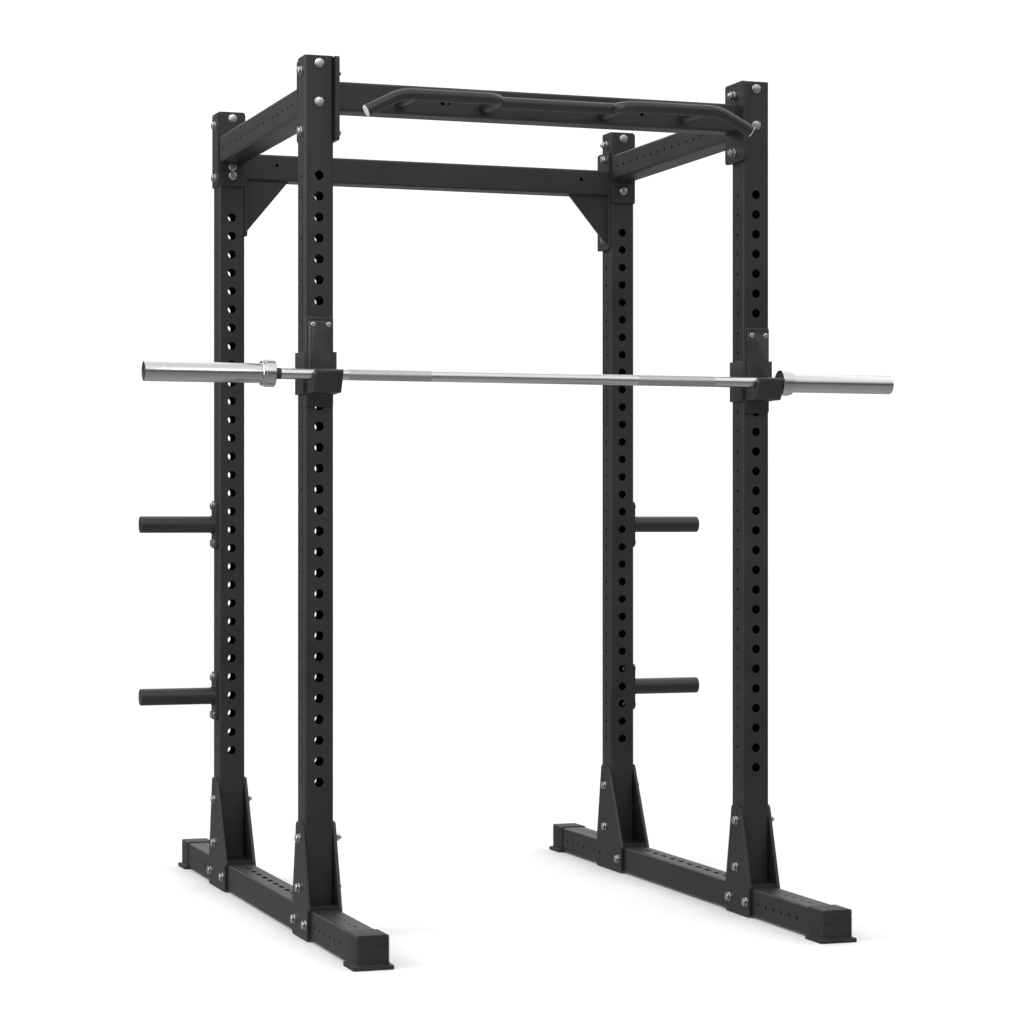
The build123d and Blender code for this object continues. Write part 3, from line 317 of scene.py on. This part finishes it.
def make_powder_coat():
    """Fine textured black powder coat, with a painted highlight along its edges."""
    material, tree, shader = new_material("black_powder_coat")
    place = object_place(tree)
    grain = noise(tree, place, POWDER_GRAIN, 3.0, 0.6)
    drift = noise(tree, place, 7.0, 3.0)
    edges, rounded = edge_mask(tree, ROUNDED_EDGE_RADIUS)
    coat = tint(tree, shader, spread(tree, drift, 0.0, 1.0), COAT_DARK, COAT_LIGHT)
    # painted highlight: the base colour turns this lighter grey along every edge, in patches of noise
    painted_edge_highlight = tree.nodes.new("ShaderNodeMix")
    painted_edge_highlight.data_type = "RGBA"
    painted_edge_highlight.inputs[7].default_value = (0.032, 0.033, 0.034, 1)
    tree.links.new(coat.outputs[2], painted_edge_highlight.inputs[6])
    highlight_patches = noise(tree, place, 60.0, 4.0, 0.7)
    share = link_math(tree, "MULTIPLY", edges, spread(tree, highlight_patches, 0.25, 0.95))
    tree.links.new(share, painted_edge_highlight.inputs[0])
    tree.links.new(painted_edge_highlight.outputs[2], shader.inputs["Base Color"])
    tree.links.new(spread(tree, drift, 0.40, 0.50), shader.inputs["Roughness"])
    bump(tree, shader, grain, PEBBLE_HEIGHT, 0.55, rounded)
    return material


print("powder grain about", round(1 / POWDER_GRAIN / MM, 1), "mm")

# %% [markdown]
# ### Rubber
# The boots are moulded rubber. It is matt, and a cloudy change of tone and gloss keeps it from looking like
# paint.

# %% Rubber
RUBBER_ROUGHNESS = (0.55, 0.72)


def make_rubber():
    """Matt moulded rubber."""
    material, tree, shader = new_material("black_rubber")
    place = object_place(tree)
    cloud = noise(tree, place, 35.0, 4.0, 0.6)
    tint(tree, shader, spread(tree, cloud, 0.0, 1.0), (0.010, 0.010, 0.0105), (0.0165, 0.0165, 0.0165))
    tree.links.new(spread(tree, cloud, *RUBBER_ROUGHNESS), shader.inputs["Roughness"])
    bump(tree, shader, noise(tree, place, 700.0, 3.0), 0.08 * MM, 0.5)
    return material


print("rubber roughness from", RUBBER_ROUGHNESS[0], "to", RUBBER_ROUGHNESS[1])

# %% [markdown]
# ### Plastic
# Plugs and liners are injection moulded. The mould is spark eroded, which leaves a fine even grain on them.

# %% Plastic
PLASTIC_GRAIN = 900.0            # grains in a metre


def make_plastic(name, dark, light, rough):
    """Moulded plastic with a fine spark-eroded grain."""
    material, tree, shader = new_material(name)
    place = object_place(tree)
    cloud = noise(tree, place, 22.0, 3.0)
    tint(tree, shader, spread(tree, cloud, 0.0, 1.0), dark, light)
    tree.links.new(spread(tree, cloud, rough - 0.06, rough + 0.06), shader.inputs["Roughness"])
    bump(tree, shader, noise(tree, place, PLASTIC_GRAIN, 2.0), 0.05 * MM, 0.4)
    return material


print("plastic grain about", round(1 / PLASTIC_GRAIN / MM, 1), "mm")

# %% [markdown]
# ### Zinc plate
# The fasteners are steel with a thin bright coat of zinc. Wrenches and thumbs leave it unevenly dull.

# %% Zinc plate
ZINC_ROUGHNESS = (0.20, 0.42)


def make_zinc():
    """Bright zinc plate: metal with a faint blue and straw drift and small handling marks."""
    material, tree, shader = new_material("bright_zinc")
    place = object_place(tree)
    cloud = noise(tree, place, 160.0, 3.0)
    tint(tree, shader, spread(tree, cloud, 0.0, 1.0), (0.50, 0.51, 0.53), (0.66, 0.65, 0.62))
    tree.links.new(spread(tree, noise(tree, place, 420.0, 4.0), *ZINC_ROUGHNESS), shader.inputs["Roughness"])
    shader.inputs["Metallic"].default_value = 1.0
    bump(tree, shader, noise(tree, place, 900.0, 3.0), 0.04 * MM, 0.5)
    return material


print("zinc roughness from", ZINC_ROUGHNESS[0], "to", ZINC_ROUGHNESS[1])

# %% [markdown]
# ### Turned steel and chrome
# A lathe tool leaves fine rings round the bar. The noise is therefore squeezed along X and drawn out round
# it. Chrome over a turned sleeve keeps the rings, much softened.

# %% Lathe lines and chrome
LINES_ALONG = 2600.0             # rings in a metre
LINES_AROUND = 14.0


def turned_lines(tree, place):
    """Noise drawn out round an axis that runs along X, as a lathe tool leaves it."""
    stretch = tree.nodes.new("ShaderNodeMapping")
    stretch.inputs["Scale"].default_value = (LINES_ALONG, LINES_AROUND, LINES_AROUND)
    tree.links.new(place, stretch.inputs["Vector"])
    node = add_node(tree, "ShaderNodeTexNoise", Scale=1.0, Detail=3.0, Roughness=0.6)
    tree.links.new(stretch.outputs["Vector"], node.inputs["Vector"])
    return node.outputs["Fac"]


def make_chrome():
    """Satin chrome over a turned sleeve."""
    material, tree, shader = new_material("chrome")
    place = object_place(tree)
    lines = turned_lines(tree, place)
    tint(tree, shader, spread(tree, lines, 0.0, 1.0), (0.50, 0.50, 0.50), (0.55, 0.55, 0.545))
    tree.links.new(spread(tree, lines, 0.19, 0.25), shader.inputs["Roughness"])
    shader.inputs["Metallic"].default_value = 1.0
    bump(tree, shader, lines, 0.004 * MM, 0.2)
    return material


print("lathe rings about", round(1 / LINES_ALONG / MM, 2), "mm apart")

# %% [markdown]
# ### Knurled shaft
# The knurl is two sets of spiral grooves that cross, as a pair of hardened wheels rolls them into the bar.
# It starts and ends at set distances from the middle, and leaves the rest of the shaft smooth.

# %% Knurled shaft
KNURL_PITCH = 1.6 * MM
KNURL_STARTS = 36
KNURL_FROM = 283 * MM
KNURL_TO = 500 * MM
KNURL_DEPTH = 0.12 * MM
KNURL_DARKENING = 0.35
KNURL_EXTRA_ROUGHNESS = 0.16


def make_knurled_steel(axis_y, axis_z):
    """Bright steel shaft: turned lines all along, and a diamond knurl over the two gripping lengths."""
    material, tree, shader = new_material("polished_steel")
    place = object_place(tree)
    split = tree.nodes.new("ShaderNodeSeparateXYZ")
    tree.links.new(place, split.inputs["Vector"])
    across = link_math(tree, "ADD", split.outputs["Y"], -axis_y)
    up = link_math(tree, "ADD", split.outputs["Z"], -axis_z)
    turn = link_math(tree, "MULTIPLY", link_math(tree, "ARCTAN2", across, up), KNURL_STARTS)
    travel = link_math(tree, "MULTIPLY", split.outputs["X"], 2 * math.pi / KNURL_PITCH)
    first = link_math(tree, "SINE", link_math(tree, "ADD", travel, turn))
    second = link_math(tree, "SINE", link_math(tree, "SUBTRACT", travel, turn))
    diamonds = link_math(tree, "MAXIMUM", first, second)
    reach = link_math(tree, "ABSOLUTE", split.outputs["X"])
    after = link_math(tree, "GREATER_THAN", reach, KNURL_FROM)
    before = link_math(tree, "LESS_THAN", reach, KNURL_TO)
    knurled = link_math(tree, "MULTIPLY", after, before)
    lines = turned_lines(tree, place)
    tone = link_math(tree, "MULTIPLY_ADD", knurled, -KNURL_DARKENING, spread(tree, lines, 0.85, 1.0))
    tint(tree, shader, tone, (0.22, 0.22, 0.22), (0.62, 0.62, 0.615))
    rough = link_math(tree, "MULTIPLY_ADD", knurled, KNURL_EXTRA_ROUGHNESS, spread(tree, lines, 0.20, 0.30))
    tree.links.new(rough, shader.inputs["Roughness"])
    shader.inputs["Metallic"].default_value = 1.0
    bump(tree, shader, link_math(tree, "MULTIPLY", diamonds, knurled), KNURL_DEPTH, 0.5)
    return material


print("knurl", round((KNURL_TO - KNURL_FROM) / MM), "mm long on each side")

# %% [markdown]
# ### Bronze
# The bushings are pressed from bronze powder. They are dull and full of small pores that hold oil.

# %% Bronze
PORE_GRAIN = 1500.0              # pores in a metre


def make_bronze():
    """Sintered bronze: dull, with pores that hold oil."""
    material, tree, shader = new_material("bronze")
    place = object_place(tree)
    pores = noise(tree, place, PORE_GRAIN, 2.0)
    tint(tree, shader, spread(tree, pores, 0.0, 1.0), (0.28, 0.17, 0.06), (0.60, 0.40, 0.17))
    tree.links.new(spread(tree, pores, 0.55, 0.35), shader.inputs["Roughness"])
    shader.inputs["Metallic"].default_value = 1.0
    bump(tree, shader, pores, 0.05 * MM, 0.4)
    return material


print("bronze pores about", round(1 / PORE_GRAIN / MM, 1), "mm")

# %% [markdown]
# ### One finish for each slot
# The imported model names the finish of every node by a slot. The shaft's finish also needs the bar's axis,
# which is the middle of the box round the shaft.

# %% The finishes by slot
BAR_LOW, BAR_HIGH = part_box("bar_shaft")
BAR_AXIS_Y = (BAR_LOW[1] + BAR_HIGH[1]) / 2
BAR_AXIS_Z = (BAR_LOW[2] + BAR_HIGH[2]) / 2

FINISHES = {
    "black_powder_coat": make_powder_coat(),
    "black_rubber": make_rubber(),
    "black_plastic": make_plastic("black_plastic", (0.010, 0.010, 0.011), (0.016, 0.016, 0.017), 0.38),
    "black_liner": make_plastic("black_liner", (0.020, 0.020, 0.021), (0.030, 0.030, 0.031), 0.42),
    "grey_plastic": make_plastic("grey_plastic", (0.42, 0.42, 0.43), (0.52, 0.52, 0.53), 0.40),
    "bright_zinc": make_zinc(),
    "chrome": make_chrome(),
    "polished_steel": make_knurled_steel(BAR_AXIS_Y, BAR_AXIS_Z),
    "bronze": make_bronze(),
}
print(len(FINISHES), "finishes")

# %% [markdown]
# ## Dressing the frame
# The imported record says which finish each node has, so the frame is dressed by reading that list.

# %% Dress the nodes
NODE_SLOTS = {}
for part in RECORD["subparts"]:
    NODE_SLOTS[part["node"]] = part["material_slot"]
for name, piece in frame["nodes"].items():
    piece.data.materials.clear()
    piece.data.materials.append(FINISHES[NODE_SLOTS[name]])
print(len(NODE_SLOTS), "nodes dressed")

# %% [markdown]
# ## Sleeves, collars and end plugs
# A real sleeve is turned on a lathe from one bar, so every part of it is a circle about the bar's axis. The
# same idea makes it here: one vertex is extruded along the outline of half a section, and the outline is
# spun once round the axis. A cylinder with bevels could not give the collar's step and the bored hollow.

# %% Turning helper
SPIN_STEPS = 72


def outline_from(name, points):
    """A chain of edges through the points, extruded one after the other. It is left open in edit mode."""
    bpy.ops.object.select_all(action="DESELECT")
    bpy.ops.mesh.primitive_plane_add(size=1 * MM, location=(0, 0, 0))
    piece = bpy.context.object
    piece.name = name
    piece.data.name = name
    bpy.ops.object.mode_set(mode="EDIT")
    bpy.ops.mesh.select_all(action="SELECT")
    bpy.ops.mesh.merge(type="CENTER")
    bpy.ops.transform.translate(value=points[0])
    for before, after in zip(points, points[1:]):
        step = tuple(b - a for a, b in zip(before, after))
        bpy.ops.mesh.extrude_region_move(TRANSFORM_OT_translate={"value": step})
    return piece


print("turned pieces have", SPIN_STEPS, "sides")

# %% Turning
WELD_DISTANCE = 0.001 * MM
CLOSE_DISTANCE = 0.01 * MM
TURNED_SMOOTH_ANGLE = math.radians(32.0)


def turned(name, profile, side, start_x):
    """A closed turned piece on the barbell's axis. The profile is (distance from start, radius) in mm."""
    points = [(start_x + side * x * MM, BAR_AXIS_Y, BAR_AXIS_Z + r * MM) for x, r in profile]
    piece = outline_from(name, points + points[:1])
    bpy.ops.mesh.select_all(action="SELECT")
    bpy.ops.mesh.remove_doubles(threshold=WELD_DISTANCE)
    middle = (0, BAR_AXIS_Y, BAR_AXIS_Z)
    bpy.ops.mesh.spin(steps=SPIN_STEPS, angle=2 * math.pi, center=middle, axis=(1, 0, 0))
    bpy.ops.mesh.select_all(action="SELECT")
    bpy.ops.mesh.remove_doubles(threshold=CLOSE_DISTANCE)
    bpy.ops.mesh.normals_make_consistent(inside=False)
    bpy.ops.object.mode_set(mode="OBJECT")
    bpy.ops.object.shade_smooth_by_angle(angle=TURNED_SMOOTH_ANGLE)
    return piece


print("axis of the barbell at", round(BAR_AXIS_Y, 4), round(BAR_AXIS_Z, 4))

# %% Placing
def place_piece(piece, slot_name, body, *nodes):
    """Finish, slot, body and the nodes a modelled piece stands for."""
    piece.data.materials.clear()
    piece.data.materials.append(FINISHES[slot_name])
    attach(piece, body)
    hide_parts(*nodes)
    print(piece.name, len(piece.data.polygons), "faces")


# %% [markdown]
# ### The outlines
# Each outline lists points as a distance from the inner face and a radius. The sleeve's runs over the
# collar and its rounded rim, along the sleeve, and back through the hollow.

# %% Sleeves
SLEEVE_PROFILE = (
    (0.0, 17.0), (0.0, 32.8), (1.2, 34.0), (23.6, 34.0), (24.6, 33.2),
    (25.0, 31.6), (31.8, 31.6), (33.0, 30.4), (33.2, 25.0), (326.4, 25.0),
    (327.6, 24.3), (328.0, 23.4), (328.0, 22.0), (323.0, 22.0), (323.0, 17.0),
)
for side_name, side in (("left", -1), ("right", 1)):
    low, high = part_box("bar_sleeve_" + side_name)
    inner_face = high[0] if side < 0 else low[0]
    sleeve = turned("turned_sleeve_" + side_name, SLEEVE_PROFILE, side, inner_face)
    place_piece(sleeve, "chrome", "sleeve_" + side_name, "bar_sleeve_" + side_name)

# %% End plugs
PLUG_PROFILE = (
    (0.0, 0.02), (0.0, 21.9), (3.4, 21.9), (4.0, 21.3), (4.0, 18.0), (3.2, 17.2),
    (3.2, 6.0), (3.8, 5.2), (3.8, 0.02),
)
for side_name, side in (("left", -1), ("right", 1)):
    low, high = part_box("bar_end_plug_" + side_name)
    start = high[0] if side < 0 else low[0]
    plug = turned("turned_end_plug_" + side_name, PLUG_PROFILE, side, start)
    plug_node = "bar_end_plug_" + side_name
    place_piece(plug, NODE_SLOTS[plug_node], "sleeve_" + side_name, plug_node)

# %% [markdown]
# ## Softened copies
# No real edge is perfectly sharp: a forged bolt head, a moulded boot and a machined liner all catch a thin
# line of light along their edges. A copy of the node's mesh is welded, its flat faces are joined again, and
# a small bevel rounds its sharp edges. The shape stays the frame's own, so nothing can drift out of place.

# %% Softening helper
FLAT_ANGLE = math.radians(0.5)
SHARP_ANGLE = math.radians(30.0)
SMOOTH_ANGLE = math.radians(40.0)


def softened(node, width):
    """A welded and bevelled copy of a node's mesh, on the same body."""
    source = frame["nodes"][node]
    copy = bpy.data.objects.new("soft_" + node, source.data.copy())
    bpy.context.scene.collection.objects.link(copy)
    bpy.ops.object.select_all(action="DESELECT")
    bpy.context.view_layer.objects.active = copy
    copy.select_set(True)
    bpy.ops.object.mode_set(mode="EDIT")
    bpy.ops.mesh.select_all(action="SELECT")
    bpy.ops.mesh.remove_doubles(threshold=WELD_DISTANCE)
    bpy.ops.mesh.dissolve_limited(angle_limit=FLAT_ANGLE)
    bpy.ops.object.mode_set(mode="OBJECT")
    rounding = copy.modifiers.new("rounding", "BEVEL")
    rounding.width = width
    rounding.segments = 2
    rounding.limit_method = "ANGLE"
    rounding.angle_limit = SHARP_ANGLE
    bpy.ops.object.modifier_apply(modifier="rounding")
    bpy.ops.object.shade_smooth_by_angle(angle=SMOOTH_ANGLE)
    place_piece(copy, NODE_SLOTS[node], body_of(source)[0], node)


# %% Fasteners, boots, plugs and liners
# the width of each piece's bevel, in millimetres
SOFT_NODES = {
    "long_bolts": 0.5, "short_bolts": 0.5, "nuts": 0.5, "washers": 0.3,
    "end_cap_front_left": 0.5, "end_cap_front_right": 0.5,
    "end_cap_rear_left": 0.5, "end_cap_rear_right": 0.5,
    "horn_caps": 0.4, "grip_caps": 0.4, "upright_plugs": 0.5,
    "cup_seat_liner_left": 0.8, "cup_seat_liner_right": 0.8,
    "cup_back_liner_left": 0.6, "cup_back_liner_right": 0.6,
    "cup_frame_left": 0.7, "cup_frame_right": 0.7,
}
for node, width in SOFT_NODES.items():
    softened(node, width * MM)
print(len(SOFT_NODES), "nodes softened")
